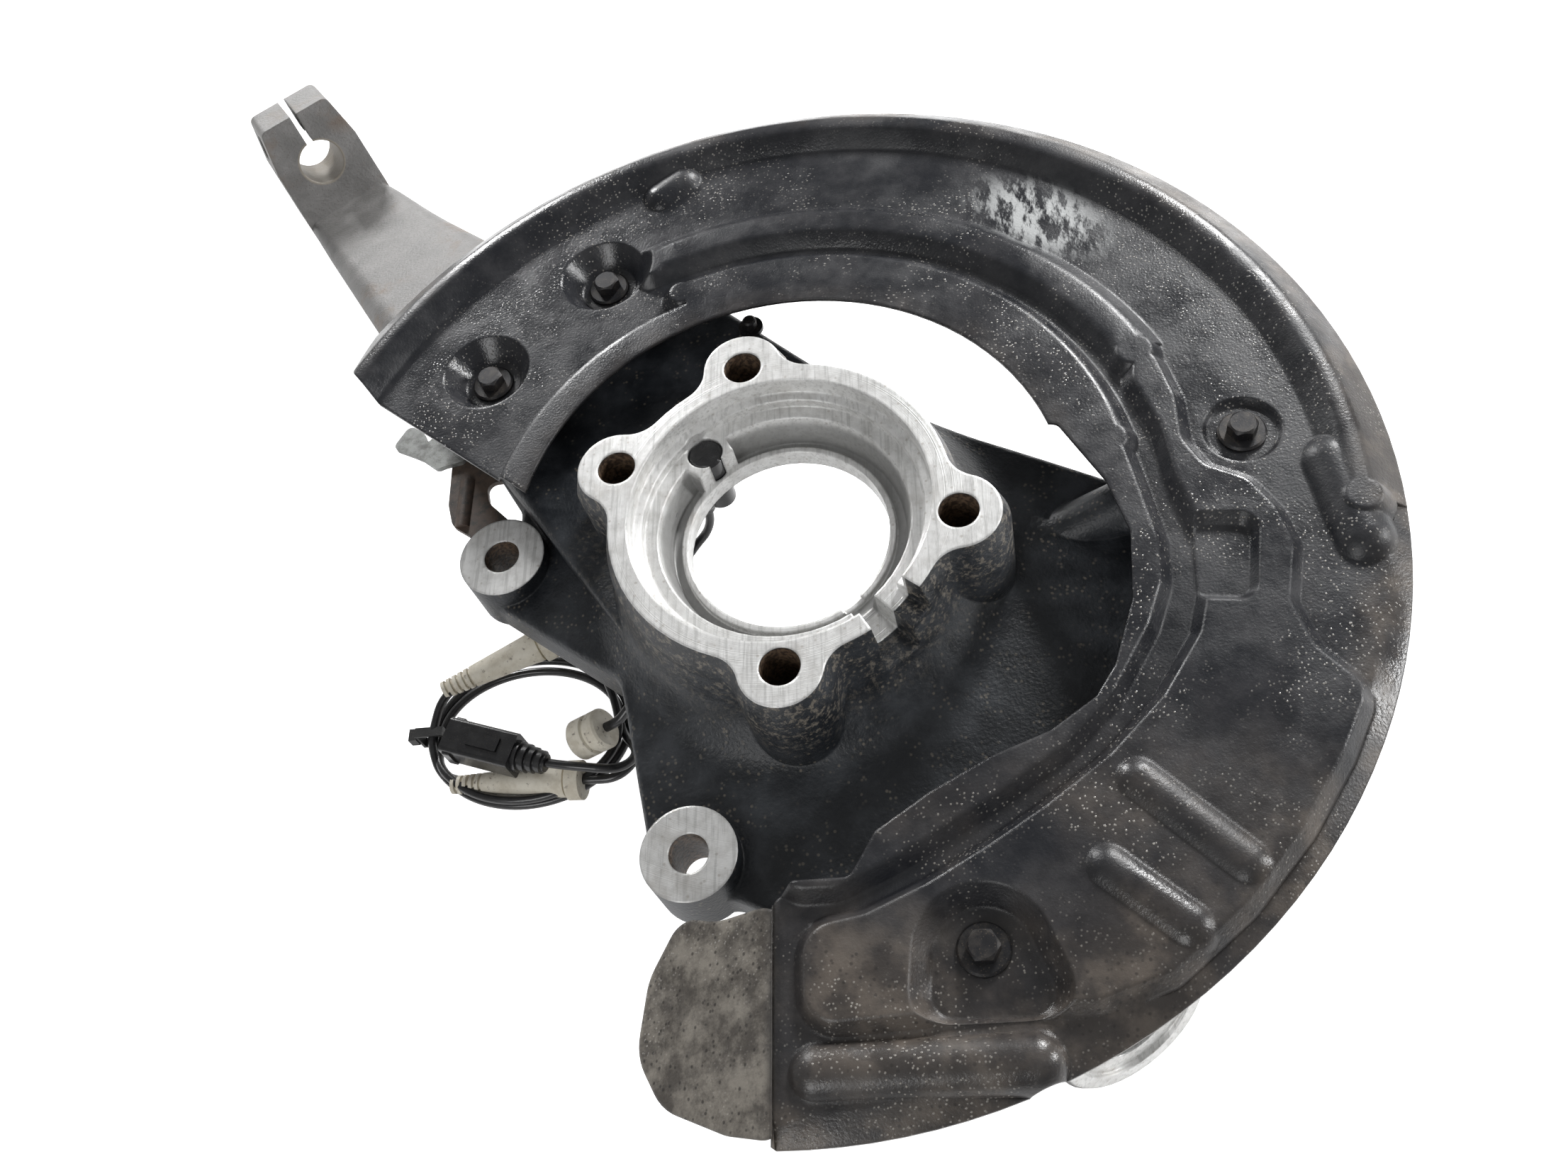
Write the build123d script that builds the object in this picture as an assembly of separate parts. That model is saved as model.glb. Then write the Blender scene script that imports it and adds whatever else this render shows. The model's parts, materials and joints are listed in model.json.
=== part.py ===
from build123d import *
import os
from math import atan2, cos, degrees, hypot, pi, radians, sin, tan

# Front steering knuckle with its dust shield, wheel speed sensor and sensor harness.
# Frame: origin at the centre of the hub bearing bore in the machined mounting face, +Z out along the
# bore towards the wheel.  The upper joint lies at -X +Y and the lower joint at +X -Y.  Millimetres.

# ---------------------------------------------------------------- hub ring
MOUTH_R = 46.0            # bore radius at the mounting face
STEP_Z = 7.0              # depth of the step in the bore wall
SEAT_R = 43.25            # bore radius under the step
LEDGE_Z = 10.3            # depth of the bearing ledge
LEDGE_INNER_R = 39.0
GROOVE_R = 36.5           # foot of the relief groove
GROOVE_Z = 21.0
LIP_R = 33.4              # outside of the lip round the through bore
LIP_Z = 18.6              # depth of the lip
THROUGH_R = 31.5          # through bore in the bearing flange
FLANGE_BACK_Z = 25.0      # inboard side of the bearing flange
BACK_BORE_R = 60.0        # mouth of the cone behind the flange, room for the drive shaft joint
RING_R = 52.0             # outside of the machined ring
RING_DEPTH = 46.0
BOLT_PCD_R = 54.0         # bearing bolt circle radius
BOLT_ANGLES = (102.0, 159.0, 271.0, 351.0)
BOLT_HOLE_R = 6.0
BOLT_HOLE_DEPTH = 30.0
LOBE_R = 12.4             # lobe round each bolt hole
LOBE_BLEND_R = 11.0
RIM_DRAFT = 2.4           # growth of the cast flange under the machined face
RIM_BAND = 7.0
NOTCH_FROM, NOTCH_TO = 301.0, 321.5     # window in the ring wall, degrees
NOTCH_DEEP_TO = 313.5
NOTCH_Z = 20.0
SENSOR_R_AT = 38.2        # wheel speed sensor, distance from the bore axis
SENSOR_ANGLE = 131.0
SENSOR_R = 5.5
SENSOR_CLEAR = 0.25
BRIDGE_HALF_DEG = 12.0    # pad that carries the sensor in the bore

# ---------------------------------------------------------------- casting body
PLATE_BACK_Z = -54.0
CAST_ROUND = 3.0
WEB_FILLET = 9.0            # inside corners of the plate outline
ROOT_Z = -26.0            # face of the neck root behind the shield
EAR_R = 14.5
EAR_Z = -33.0
EAR_THICK = 21.0
EAR_HOLE_R = 6.0
EAR_UP = (-98.9, 12.4)
EAR_LOW = (-31.8, -94.5)
KINGPIN_AZ = 123.4        # direction of the steering axis towards the upper joint
KINGPIN_TILT = 17.3
CLAMP_AT = (-217.0, 247.0, -62.0)       # upper joint bore at the lower face of its clamp block
CLAMP_BORE_R = 9.5
CLAMP_LEN = 28.0
CLAMP_OUT = 23.0          # block outboard of the bore axis
CLAMP_HALF_W = 19.5
NECK_FRONT = -21.6        # neck front face, from the joint axis
NECK_THICK = 26.0
SLIT_W = 3.0
PINCH_R = 5.25
LOWER_AT = (88.0, -144.0, -50.0)        # lower joint, centre of its end face
LOWER_R = 24.0
LOWER_LEN = 34.0
LOWER_BORE_R = 14.0
ARM_AT = (90.0, -20.0, -90.0)           # tie rod joint of the steering arm
ARM_EYE_R = 14.0
ARM_HOLE_R = 6.5
ARM_EYE_LEN = 26.0

# ---------------------------------------------------------------- dust shield
SHEET_T = 1.2
SHIELD_R = 178.3
SHIELD_RIM_Z = -16.0
BEAD_Z = -7.0             # crest of the rim bead
FIELD_Z = -12.5           # main field
RIDGE_Z = -8.0            # inner ridge and right-hand plateau
BAND_Z = -7.8             # band along the inner edge
RIB_Z = -5.6              # stiffening ribs
RIB_R = 8.0
RECESS_Z = -11.5
WALL_SLOPE = 38.0         # draft of the pressed walls
BEND = 1.2                # bend radius at the crests
INNER_R = 85.0            # window round the hub
RIDGE_FROM, RIDGE_TO = 24.0, 113.0
FOLD_X = -3.0             # bend line of the lower tab
TAB_SLOPE = 0.6
NECK_PAD_Z = -20.0        # top of the sheet where it is bolted to the neck
LUG_PAD_Z = -14.5
BOLT_1, BOLT_2, BOLT_3, BOLT_4 = (-103.3, 74.4), (-64.2, 111.0), (137.3, 18.0), (51.1, -132.0)
M6_R = 3.0
M6_HOLE_R = 3.3
THREAD_GAP = 0.1          # radial room of a screw shank in its hole

# ---------------------------------------------------------------- sensor and brackets
SENSOR_OFFSET = 17.0      # sensor body, outward from the tip axis
SENSOR_HEAD_Z = -27.0     # inboard end of the sensor tip
SENSOR_FOOT_Z = -30.0     # seat of the fixing foot
SENSOR_FOOT_T = 4.0
SENSOR_TAIL_Z = -56.0     # inboard end of the sensor body
SENSOR_BODY_R = 5.2
EYE_R = 5.6
O_RING_R = 0.9
O_RING_Z = -24.0
M5_R = 2.5
SHEET_BRACKET_T = 2.0
BRACKET_BOLT = (-101.0, 68.0)
STUD = (-14.0, 90.5)

# ---------------------------------------------------------------- sensor harness
CABLE_R = 1.6
COIL_AT = (-110.0, -18.5)
COIL_A, COIL_B = 37.0, 27.0             # half axes of the coil's centre line
COIL_W, COIL_H = 8.0, 7.0
COIL_Z = -98.0            # top of the coil
CLIP_GAP = 0.3            # room between pieces that rest on each other
SLEEVE_R = 7.0            # end disc of a moulded sleeve
GROMMET_R = 7.3
GROMMET_L = 13.0
PLUG = (27.0, 13.0, 12.0)
BOOT_L = 11.5
SLEEVE_LOW_TIP, SLEEVE_LOW_END = (-136.9, -38.2, -101.2), (-87.8, -40.6, -99.6)
SLEEVE_UP_TIP, SLEEVE_UP_END = (-141.3, -4.1, -93.2), (-100.0, 12.2, COIL_Z + SLEEVE_R + CLIP_GAP)
GROMMET_FAR, GROMMET_NEAR = (-87.6, -29.4, -91.1), (-76.1, -27.8, -85.3)
STUB_END = (-62.5, -20.2, -77.0)
PLUG_BACK, PLUG_DIR = (-133.9, -26.4, -87.8), (0.949, -0.315, 0.0)
RIVET, RIVET_R = (-128.3, 71.5), 2.0


def at(r, a, z=0.0):
    return Vector(r * cos(radians(a)), r * sin(radians(a)), z)


SENSOR_AT = at(SENSOR_R_AT, SENSOR_ANGLE)
SENSOR_TAIL_AT = at(SENSOR_R_AT + SENSOR_OFFSET, SENSOR_ANGLE)
SENSOR_EYE = at(SENSOR_R_AT + SENSOR_OFFSET + 2, SENSOR_ANGLE + 17)
SHIELD_BOLTS = [(*BOLT_1, NECK_PAD_Z), (*BOLT_2, NECK_PAD_Z), (*BOLT_3, LUG_PAD_Z), (*BOLT_4, LUG_PAD_Z)]


def joint_plane(p):
    """local x to the left, y outboard, z up along the steering axis"""
    a, t = radians(KINGPIN_AZ), radians(KINGPIN_TILT)
    k = Vector(cos(t) * cos(a), cos(t) * sin(a), -sin(t))
    return Plane(origin=p, x_dir=(-sin(a), cos(a), 0), z_dir=k)


def hull(*circles):
    """flat outline wrapped round circles given as (x, y, r)"""
    edges = []
    for x, y, r in circles:
        edges += (Pos(x, y) * Circle(r)).edges()
    return make_hull(edges)


def prism(outline, top, bottom):
    return Pos(0, 0, bottom) * extrude(outline, top - bottom)


def rounded(outline, top, bottom, radius):
    s = prism(outline, top, bottom)
    return fillet(s.faces().sort_by(Axis.Z)[-1].edges(), radius)


def sector(r, a0, a1):
    p0, p1 = at(r, a0), at(r, a1)
    return make_face(Polyline((0, 0), (p0.X, p0.Y), (p1.X, p1.Y), close=True))


# ---------------------------------------------------------------- casting
def lobed(grow, z):
    s = Circle(RING_R + grow)
    for a in BOLT_ANGLES:
        p = at(BOLT_PCD_R, a)
        s += Pos(p.X, p.Y) * Circle(LOBE_R + grow)
    return Pos(0, 0, z) * fillet(s.vertices(), LOBE_BLEND_R - grow)


def hub_ring():
    rim = loft([lobed(0, 0).face(), lobed(RIM_DRAFT, -RIM_BAND).face()])
    return rim + extrude(lobed(RIM_DRAFT, -RIM_BAND), -(RING_DEPTH - RIM_BAND))


def hub_bore():
    """space turned out of the hub ring"""
    pts = [(0, 1), (MOUTH_R, 1), (MOUTH_R, -STEP_Z + 0.8),
           (SEAT_R, -STEP_Z), (SEAT_R, -LEDGE_Z), (LEDGE_INNER_R, -LEDGE_Z), (GROOVE_R, -GROOVE_Z),
           (LIP_R, -GROOVE_Z), (LIP_R, -LIP_Z), (THROUGH_R, -LIP_Z), (THROUGH_R, -FLANGE_BACK_Z),
           (THROUGH_R + 2, -FLANGE_BACK_Z), (BACK_BORE_R, PLATE_BACK_Z), (BACK_BORE_R, -70), (0, -70)]
    return revolve(make_face(Plane.XZ * Polyline(*pts, close=True)), Axis.Z)


def bridge():
    """pad left standing in the relief groove round the speed sensor"""
    ring = Circle(LEDGE_INNER_R + 1) - Circle(LIP_R - 0.4)
    fan = sector(70, SENSOR_ANGLE - BRIDGE_HALF_DEG, SENSOR_ANGLE + BRIDGE_HALF_DEG)
    return prism(ring & fan, -LEDGE_Z, -GROOVE_Z - 1)


def sensor_plan(*circles, grow=0.0):
    return hull(*[(p.X, p.Y, r + grow) for p, r in circles])


def sensor_pocket():
    """cuts for the sensor body, its foot and its screw"""
    gap = 0.5
    floor = PLATE_BACK_Z - 6
    tip = prism(Pos(SENSOR_AT.X, SENSOR_AT.Y) * Circle(SENSOR_R + SENSOR_CLEAR), 0, SENSOR_HEAD_Z - 1)
    body = prism(sensor_plan((SENSOR_AT, SENSOR_R), (SENSOR_TAIL_AT, SENSOR_BODY_R), grow=gap), SENSOR_HEAD_Z, floor)
    foot = prism(sensor_plan((SENSOR_TAIL_AT, SENSOR_BODY_R), (SENSOR_EYE, EYE_R), grow=2 * gap), SENSOR_FOOT_Z, floor)
    screw = prism(Pos(SENSOR_EYE.X, SENSOR_EYE.Y) * Circle(M5_R), SENSOR_FOOT_Z + 9, floor)
    return tip, body, foot, screw


def bell():
    """cast skirt that spreads from the hub ring into the plate"""
    skirt = FilletPolyline((54, -11), (57, -26), (68, -36.5), (100, -41.5), (175, -46), radius=[14, 16, 40])
    rest = Polyline((175, -46), (175, PLATE_BACK_Z), (30, PLATE_BACK_Z), (30, -11), (54, -11))
    return revolve(make_face(Plane.XZ * Wire(skirt.edges() + rest.edges())), Axis.Z)


def planform():
    s = hull((0, 0, 62), (*EAR_UP, EAR_R - 1)) + hull((0, 0, 62), (*EAR_LOW, EAR_R - 1))
    s += hull((0, 0, 64), (95, 13, 13), (88, -44, 14))
    s += hull((0, 0, 56), (82, -132, 22), (-12, -94, 14))
    s += hull((0, 0, 64), (-88, 66, 24), (-48, 100, 24))
    return offset(offset(s, WEB_FILLET, kind=Kind.ARC), -WEB_FILLET, kind=Kind.ARC)


def neck():
    pl = joint_plane(CLAMP_AT)
    out = []
    for s, left, right, thick, rr in ((0, 20, 20, 26, 4), (35, 21, 25.5, 26, 7), (72, 21.5, 31.5, 26, 9),
                                      (110, 22, 38, 26, 9.5), (160, 22, 42, 26, 9.5), (205, 23, 44, 25, 9)):
        f = Pos((left - right) / 2, NECK_FRONT - thick / 2, -s) * RectangleRounded(left + right, thick, rr)
        out.append((pl * f).face())
    return loft(out)


def clamp_block():
    w, back = CLAMP_HALF_W, NECK_FRONT - NECK_THICK
    pts = [(-w + 3.5, CLAMP_OUT), (w - 3.5, CLAMP_OUT), (w, 4), (w + 0.5, NECK_FRONT), (w + 0.5, back),
           (-w - 0.5, back), (-w - 0.5, NECK_FRONT), (-w, 4)]
    f = make_face(Polyline(*pts, close=True))
    b = extrude(fillet(f.vertices(), 3.0), CLAMP_LEN)
    return joint_plane(CLAMP_AT) * fillet(b.faces().sort_by(Axis.Z)[-1].edges(), 2.5)


def clamp_cuts():
    mid = CLAMP_LEN / 2
    bore = Pos(0, 0, mid) * Cylinder(CLAMP_BORE_R, CLAMP_LEN + 2)
    slit = Pos(0, CLAMP_OUT / 2 + 2, mid) * Box(SLIT_W, CLAMP_OUT + 4, CLAMP_LEN + 2)
    pinch = Pos(0, CLAMP_BORE_R + 3.6, mid) * Rot(0, 90, 0) * Cylinder(PINCH_R, 4 * CLAMP_HALF_W)
    return joint_plane(CLAMP_AT) * (bore + slit + pinch)


def lower_boss():
    body = Pos(0, 0, LOWER_LEN / 2) * Cylinder(LOWER_R, LOWER_LEN)
    body = chamfer(body.faces().sort_by(Axis.Z)[0].edges(), 1.2)
    ridge = Pos(0, 0, LOWER_LEN / 2) * Cylinder(LOWER_R + 2.5, LOWER_LEN - 14)
    return joint_plane(LOWER_AT) * (body + fillet(ridge.edges(), 2.4))


def lower_cuts():
    bore = Pos(0, 0, 12) * Cylinder(LOWER_BORE_R, 26)
    mouth = Cylinder(LOWER_R - 5, 3)
    front = Pos(0, 0, -20) * Cylinder(LOWER_R + 4, 40)
    return joint_plane(LOWER_AT) * (bore + mouth + front)


def side_lug():
    """round bar from the plate to the side pad of the dust shield"""
    x, y = BOLT_3
    top = LUG_PAD_Z - SHEET_T
    foot, head = Vector(62, 4, PLATE_BACK_Z), Vector(x, y, top - 9.5)
    bar = Plane(origin=foot, z_dir=head - foot) * extrude(Circle(8.5), (head - foot).length)
    bar &= prism(Rectangle(2 * SHIELD_R, 2 * SHIELD_R), 0, PLATE_BACK_Z)
    return bar + prism(Pos(x, y) * Circle(10), top, top - 18)


def steering_arm():
    x, y, z = ARM_AT
    top = PLATE_BACK_Z + 4
    leg = Pos(x, y, (z + top) / 2) * Cone(ARM_EYE_R - 2, ARM_EYE_R + 4, top - z)
    eye = joint_plane(ARM_AT) * Cylinder(ARM_EYE_R, ARM_EYE_LEN)
    return leg + fillet(eye.edges(), 1.5)


def casting():
    b = bell() & prism(planform(), 0, -60)
    far = b.edges().filter_by(lambda e: hypot(e.center().X, e.center().Y) > RING_R)
    b = fillet(far.filter_by(lambda e: e.center().Z > PLATE_BACK_Z + 2), CAST_ROUND)
    b += hub_ring()
    for x, y in (EAR_UP, EAR_LOW):
        b += prism(Pos(x, y) * Circle(EAR_R), EAR_Z, EAR_Z - EAR_THICK)
    b += lower_boss()
    b += steering_arm()
    b += rounded(hull((0, 0, 58), (-90, 66, 22), (-55, 101, 22)), ROOT_Z, PLATE_BACK_Z, CAST_ROUND)
    b += neck()
    b += clamp_block()
    for x, y in (BOLT_1, BOLT_2):
        b += prism(Pos(x, y) * Circle(11), NECK_PAD_Z - SHEET_T, -40)
    b += side_lug()
    x, y = BOLT_4
    b += prism(Pos(x, y) * Circle(11), LUG_PAD_Z - SHEET_T, PLATE_BACK_Z + 2)
    b -= hub_bore()
    b += bridge()
    b -= clamp_cuts()
    b -= lower_cuts()
    b -= joint_plane(ARM_AT) * Cylinder(ARM_HOLE_R, 40)
    for a in BOLT_ANGLES:
        p = at(BOLT_PCD_R, a)
        b -= prism(Pos(p.X, p.Y) * Circle(BOLT_HOLE_R), 1, -BOLT_HOLE_DEPTH)
    for x, y in (EAR_UP, EAR_LOW):
        b -= prism(Pos(x, y) * Circle(EAR_HOLE_R), EAR_Z + 1, -60)
    for x, y, z in SHIELD_BOLTS:
        b -= prism(Pos(x, y) * Circle(M6_R), z, z - 16)
    for cut in sensor_pocket():
        b -= cut
    b -= prism(Pos(*BRACKET_BOLT) * Circle(M6_R), PLATE_BACK_Z + 16, -60)
    b -= prism(Pos(*STUD) * Circle(M5_R), ROOT_Z + 5, ROOT_Z - 10)
    b -= prism(sector(90, NOTCH_FROM, NOTCH_TO) & Circle(62), 1, -LEDGE_Z)
    b -= prism(sector(90, NOTCH_FROM, NOTCH_DEEP_TO) & Circle(62), 1, -NOTCH_Z)
    return b


# ---------------------------------------------------------------- dust shield
def ring_section(pts, a0, a1):
    """radial section swept round the hub axis from angle a0 to a1"""
    return Rot(0, 0, a0) * revolve(make_face(Plane.XZ * Polyline(*pts, close=True)), Axis.Z, a1 - a0)


def drafted(outline, z0, z1):
    """prism from z0 to z1 that widens with the wall slope towards z1"""
    grown = offset(outline, abs(z1 - z0) * tan(radians(WALL_SLOPE)), kind=Kind.ARC)
    return loft([Pos(0, 0, z0) * outline.face(), Pos(0, 0, z1) * grown.face()], ruled=True)


def raised(outline, top, bottom=FIELD_Z - 0.4):
    """boss of a pressing tool, its outline given at the crest"""
    s = drafted(outline, top, bottom)
    return fillet(s.faces().sort_by(Axis.Z)[-1].edges(), BEND)


def sunk(outline, floor, top=-4.0):
    """pocket of a pressing tool, its outline given at the floor"""
    return drafted(outline, floor, top)


def rib(p, q, top, r=RIB_R):
    """round-topped rib between two points"""
    d = Vector(*q) - Vector(*p)
    run = Pos(d.length / 2, 0, 0) * Rot(0, 90, 0) * Cylinder(r, d.length)
    return Pos(*p, top - r) * Rot(0, 0, degrees(atan2(d.Y, d.X))) * (run + Sphere(r) + Pos(d.length, 0, 0) * Sphere(r))


def poly(*pts, r=8):
    """closed outline with every corner rounded as far as its two sides allow, up to r"""
    radii = []
    for i, p in enumerate(pts):
        a, b = Vector(*p) - Vector(*pts[i - 1]), Vector(*pts[(i + 1) % len(pts)]) - Vector(*p)
        turn = tan(radians(a.get_angle(b)) / 2)
        radii.append(min(r, 0.45 * min(a.length, b.length) / turn))
    return make_face(FilletPolyline(*pts, radius=radii, close=True))


def shield_die():
    """solid under the pressed surface"""
    low = FIELD_Z - 26
    rim = SHIELD_R + 1
    t = ring_section([(0, FIELD_Z), (SHIELD_R - 7, FIELD_Z), (rim, SHIELD_RIM_Z - 0.4), (rim, low), (0, low)], 0, 360)
    s = tan(radians(WALL_SLOPE))
    t += ring_section([(152, low), (161.5 - s * (BEAD_Z - FIELD_Z), FIELD_Z), (162, BEAD_Z - 0.6), (164, BEAD_Z),
                       (167, BEAD_Z), (169, BEAD_Z - 1), (rim, SHIELD_RIM_Z - 0.4), (rim, low)], -4, 156)
    band = [(0, low), (0, BAND_Z), (94, BAND_Z), (96, BAND_Z - 0.8), (98.5, FIELD_Z), (98.5, low)]
    t += ring_section(band, 108, 170)
    t += ring_section([(0, low), (0, BAND_Z), (103, BAND_Z), (105, BAND_Z - 0.8), (108.5, FIELD_Z), (108.5, low)], 10, 110)
    ridge = [(111, low), (111, FIELD_Z), (115, RIDGE_Z - 0.6), (117, RIDGE_Z), (123, RIDGE_Z), (125.5, RIDGE_Z - 0.8),
             (130, FIELD_Z), (130, low)]
    t += ring_section(ridge, RIDGE_FROM, RIDGE_TO)
    for r, a, size, top in ((120, RIDGE_TO, 5.4, RIDGE_Z), (120, RIDGE_FROM, 5.4, RIDGE_Z), (101, 110, 4.2, BAND_Z),
                            (101, 10, 4.2, BAND_Z), (165.5, -4, 5, BEAD_Z)):
        p = at(r, a)
        t += raised(Pos(p.X, p.Y) * Circle(size), top)
    t += raised(poly((0, 0), (60, 60), (98, 30), (101, 20), (104, 4), (108, -19), (107, -33), (102, -46), (90, -66),
                     (76, -80), (58, -92), (44, -100), (28, -109), (14, -115), (0, -115)), BAND_Z)
    t += raised(poly((110, 50), (115, 46), (119, 30), (119, 14), (124, 4), (135, -2), (141, -12), (144, -24), (140, -42),
                     (144, -57), (155, -70), (146, -87), (133, -106), (116, -125), (96, -141), (78, -147), (40, -148),
                     (6, -150), (6, -126), (22, -123), (38, -116), (54, -107), (70, -97), (88, -84), (104, -68),
                     (116, -50), (120, -36), (121, -18), (116, 2), (114, 20), (108, 38)), RIDGE_Z)
    t += rib((94, -91), (118, -115), RIB_Z)
    t += rib((84, -114), (102, -130), RIB_Z)
    t += rib((8, -161), (62, -160), RIDGE_Z)
    t += rib((160, 4), (164, -22), BEAD_Z - 0.5, RIB_R + 2)
    t += rib((-45, 145), (-37, 151), RIDGE_Z - 1)
    t -= sunk(poly((119, -14), (134, -16), (130, -39), (116, -37), r=3), RECESS_Z)
    t -= sunk(hull((51, -134, 13), (43, -143, 6), (62, -143, 6)), LUG_PAD_Z)
    t -= sunk(Pos(*BOLT_3) * Circle(10), LUG_PAD_Z)
    for x, y in (BOLT_1, BOLT_2):
        t -= sunk(Pos(x, y) * Circle(9.5), NECK_PAD_Z)
    t -= prism(Pos(FOLD_X - 100, -205) * Rectangle(200, 180), 5, low - 1)
    side = Polyline((FOLD_X, FIELD_Z + 2), (FOLD_X + 1, low), (FOLD_X - 60, low - 40), (FOLD_X - 60, FIELD_Z + 2 - 60 * TAB_SLOPE),
                    close=True)
    return t + extrude(make_face(Plane.XZ.offset(100) * side), 100, dir=(0, -1, 0))


def shield_outline():
    window = poly((-82, 19), (-141, 66), (-150, 77), (-148, 104), (-200, 150), (-200, -200), (FOLD_X, -200), (FOLD_X, -117), (3, -113),
                  (18, -113), (25, -101), (40, -91), (57, -82), (73, -76), (86, -67), (92, -58), (99, -38), (101, -16),
                  (96, 2), (84, 24), (50, 30), (-40, 40), r=3)
    tab = poly((2, -178), (-16, -174), (-36, -165), (-45, -150), (-42, -130), (-32, -115), (-20, -119), (2, -118), r=16)
    return (Circle(SHIELD_R) - Circle(INNER_R) - window) + tab


def dust_shield():
    die = shield_die()
    s = (die - Pos(0, 0, -SHEET_T) * die) & prism(shield_outline(), 5, -70)
    for x, y, z in SHIELD_BOLTS:
        s -= prism(Pos(x, y) * Circle(M6_HOLE_R), z + 5, z - 5)
    return s


# ---------------------------------------------------------------- screws, sensor and brackets
def flange_bolt(length, shank_r=M6_R - THREAD_GAP, flange_r=7.1, hex_af=8.0, head=5.4):
    """hexagon bolt with a flange, seat at z 0 and head upwards"""
    flange = Pos(0, 0, 0.7) * Cylinder(flange_r, 1.4)
    cap = Pos(0, 0, 1.2) * extrude(RegularPolygon(hex_af / 2, 6, major_radius=False), head - 1.2)
    cap = cap & Pos(0, 0, head / 2) * chamfer(Cylinder(hex_af / 2 + 0.5, head).edges().sort_by(Axis.Z)[-1], 0.9)
    return chamfer(flange.edges().sort_by(Axis.Z)[-1], 0.6) + cap + Pos(0, 0, -length / 2) * Cylinder(shank_r, length)


def sensor():
    tip = prism(Circle(SENSOR_R), -LEDGE_Z - 0.6, SENSOR_HEAD_Z)
    tip = chamfer(tip.edges().sort_by(Axis.Z)[-1], 0.8)
    groove_r = SENSOR_R + SENSOR_CLEAR - 2 * O_RING_R
    tip -= Pos(0, 0, O_RING_Z) * (Cylinder(SENSOR_R + 1, 2 * O_RING_R + 0.2) - Cylinder(groove_r - 0.05, 4))
    head = prism(sensor_plan((SENSOR_AT, SENSOR_R - 0.7), (SENSOR_TAIL_AT, SENSOR_BODY_R)), SENSOR_HEAD_Z - 0.5, SENSOR_HEAD_Z - 8)
    core = prism(Pos(SENSOR_AT.X, SENSOR_AT.Y) * Circle(SENSOR_R - 0.7), SENSOR_HEAD_Z, SENSOR_HEAD_Z - 1)
    foot = prism(sensor_plan((SENSOR_TAIL_AT, SENSOR_BODY_R), (SENSOR_EYE, EYE_R)), SENSOR_FOOT_Z, SENSOR_FOOT_Z - SENSOR_FOOT_T)
    foot -= prism(Pos(SENSOR_EYE.X, SENSOR_EYE.Y) * Circle(M5_R + 0.2), SENSOR_FOOT_Z + 1, SENSOR_FOOT_Z - 9)
    tail = prism(Circle(SENSOR_BODY_R), SENSOR_HEAD_Z - 1, SENSOR_TAIL_Z)
    tail = fillet(tail.edges().sort_by(Axis.Z)[0], 1.5) + prism(Circle(CABLE_R + 1.4), SENSOR_TAIL_Z, SENSOR_TAIL_Z - 4)
    return Pos(SENSOR_AT.X, SENSOR_AT.Y) * tip + head + core + foot + Pos(SENSOR_TAIL_AT.X, SENSOR_TAIL_AT.Y) * tail


def sensor_o_ring():
    r = SENSOR_R + SENSOR_CLEAR - 0.05 - O_RING_R
    return Pos(SENSOR_AT.X, SENSOR_AT.Y, O_RING_Z) * Torus(r, O_RING_R)


def sensor_screw():
    head = Pos(0, 0, -1.6) * Cylinder(4.4, 3.2)
    head -= Pos(0, 0, -2.2) * extrude(RegularPolygon(2.0, 6, major_radius=False), -3)
    shank = prism(Circle(M5_R - THREAD_GAP), SENSOR_FOOT_T + 8, 0)
    return Pos(SENSOR_EYE.X, SENSOR_EYE.Y, SENSOR_FOOT_Z - SENSOR_FOOT_T) * (fillet(head.edges().sort_by(Axis.Z)[:1], 0.6) + shank)


def harness_bracket():
    """pressed sheet bolted under the neck root, with a stiffening bead down its free end"""
    f = poly((-131.5, 75), (-130.5, 50), (-128, 41), (-121, 36), (-111, 24), (-104, 21), (-99, 29), (-107, 41), (-115, 49),
             (-117, 58), (-92, 58), (-92, 76), r=6)
    top = PLATE_BACK_Z
    b = prism(f, top, top - SHEET_BRACKET_T)
    bead = Pos(-124.3, 50, top - 1.5) * Rot(90, 0, 0) * Cylinder(3.2, 20)
    b += bead & prism(f, top + 9, top)
    x, y = BRACKET_BOLT
    b -= prism(Pos(x, y) * Circle(M6_HOLE_R), top + 1, top - 9)
    return b - prism(Pos(*RIVET) * Circle(RIVET_R + THREAD_GAP), top + 1, top - 9)


def harness_clip():
    """plated strap with two tongues, riveted to the bracket"""
    f = poly((-154.9, 76.9), (-149.3, 86.5), (-143.2, 82.2), (-141.1, 77.5), (-139.5, 79.8), (-134, 76), (-125.5, 75.5),
             (-125.5, 67.5), (-133.2, 66.1), (-136.0, 65.0), (-142.1, 70.1), (-146, 72.3), r=2.5)
    b = prism(f, PLATE_BACK_Z + SHEET_BRACKET_T, PLATE_BACK_Z)
    return b - prism(Pos(*RIVET) * Circle(RIVET_R + THREAD_GAP), PLATE_BACK_Z + 9, PLATE_BACK_Z - 1)


def rivet():
    z0, z1 = PLATE_BACK_Z - SHEET_BRACKET_T, PLATE_BACK_Z + SHEET_BRACKET_T
    pin = prism(Circle(RIVET_R), z1, z0)
    return Pos(*RIVET) * (pin + prism(Circle(RIVET_R + 1.3), z0, z0 - 1.4))


def stud():
    body = prism(Circle(M5_R - THREAD_GAP), ROOT_Z + 5, ROOT_Z - 8)
    return Pos(*STUD) * (chamfer(body.edges().sort_by(Axis.Z)[-1], 0.6) + prism(Circle(4.2), ROOT_Z + 1.5, ROOT_Z))


# ---------------------------------------------------------------- harness
def along(p, q):
    """plane at p whose z axis points to q"""
    return Plane(origin=p, z_dir=Vector(*q) - Vector(*p))


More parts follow.
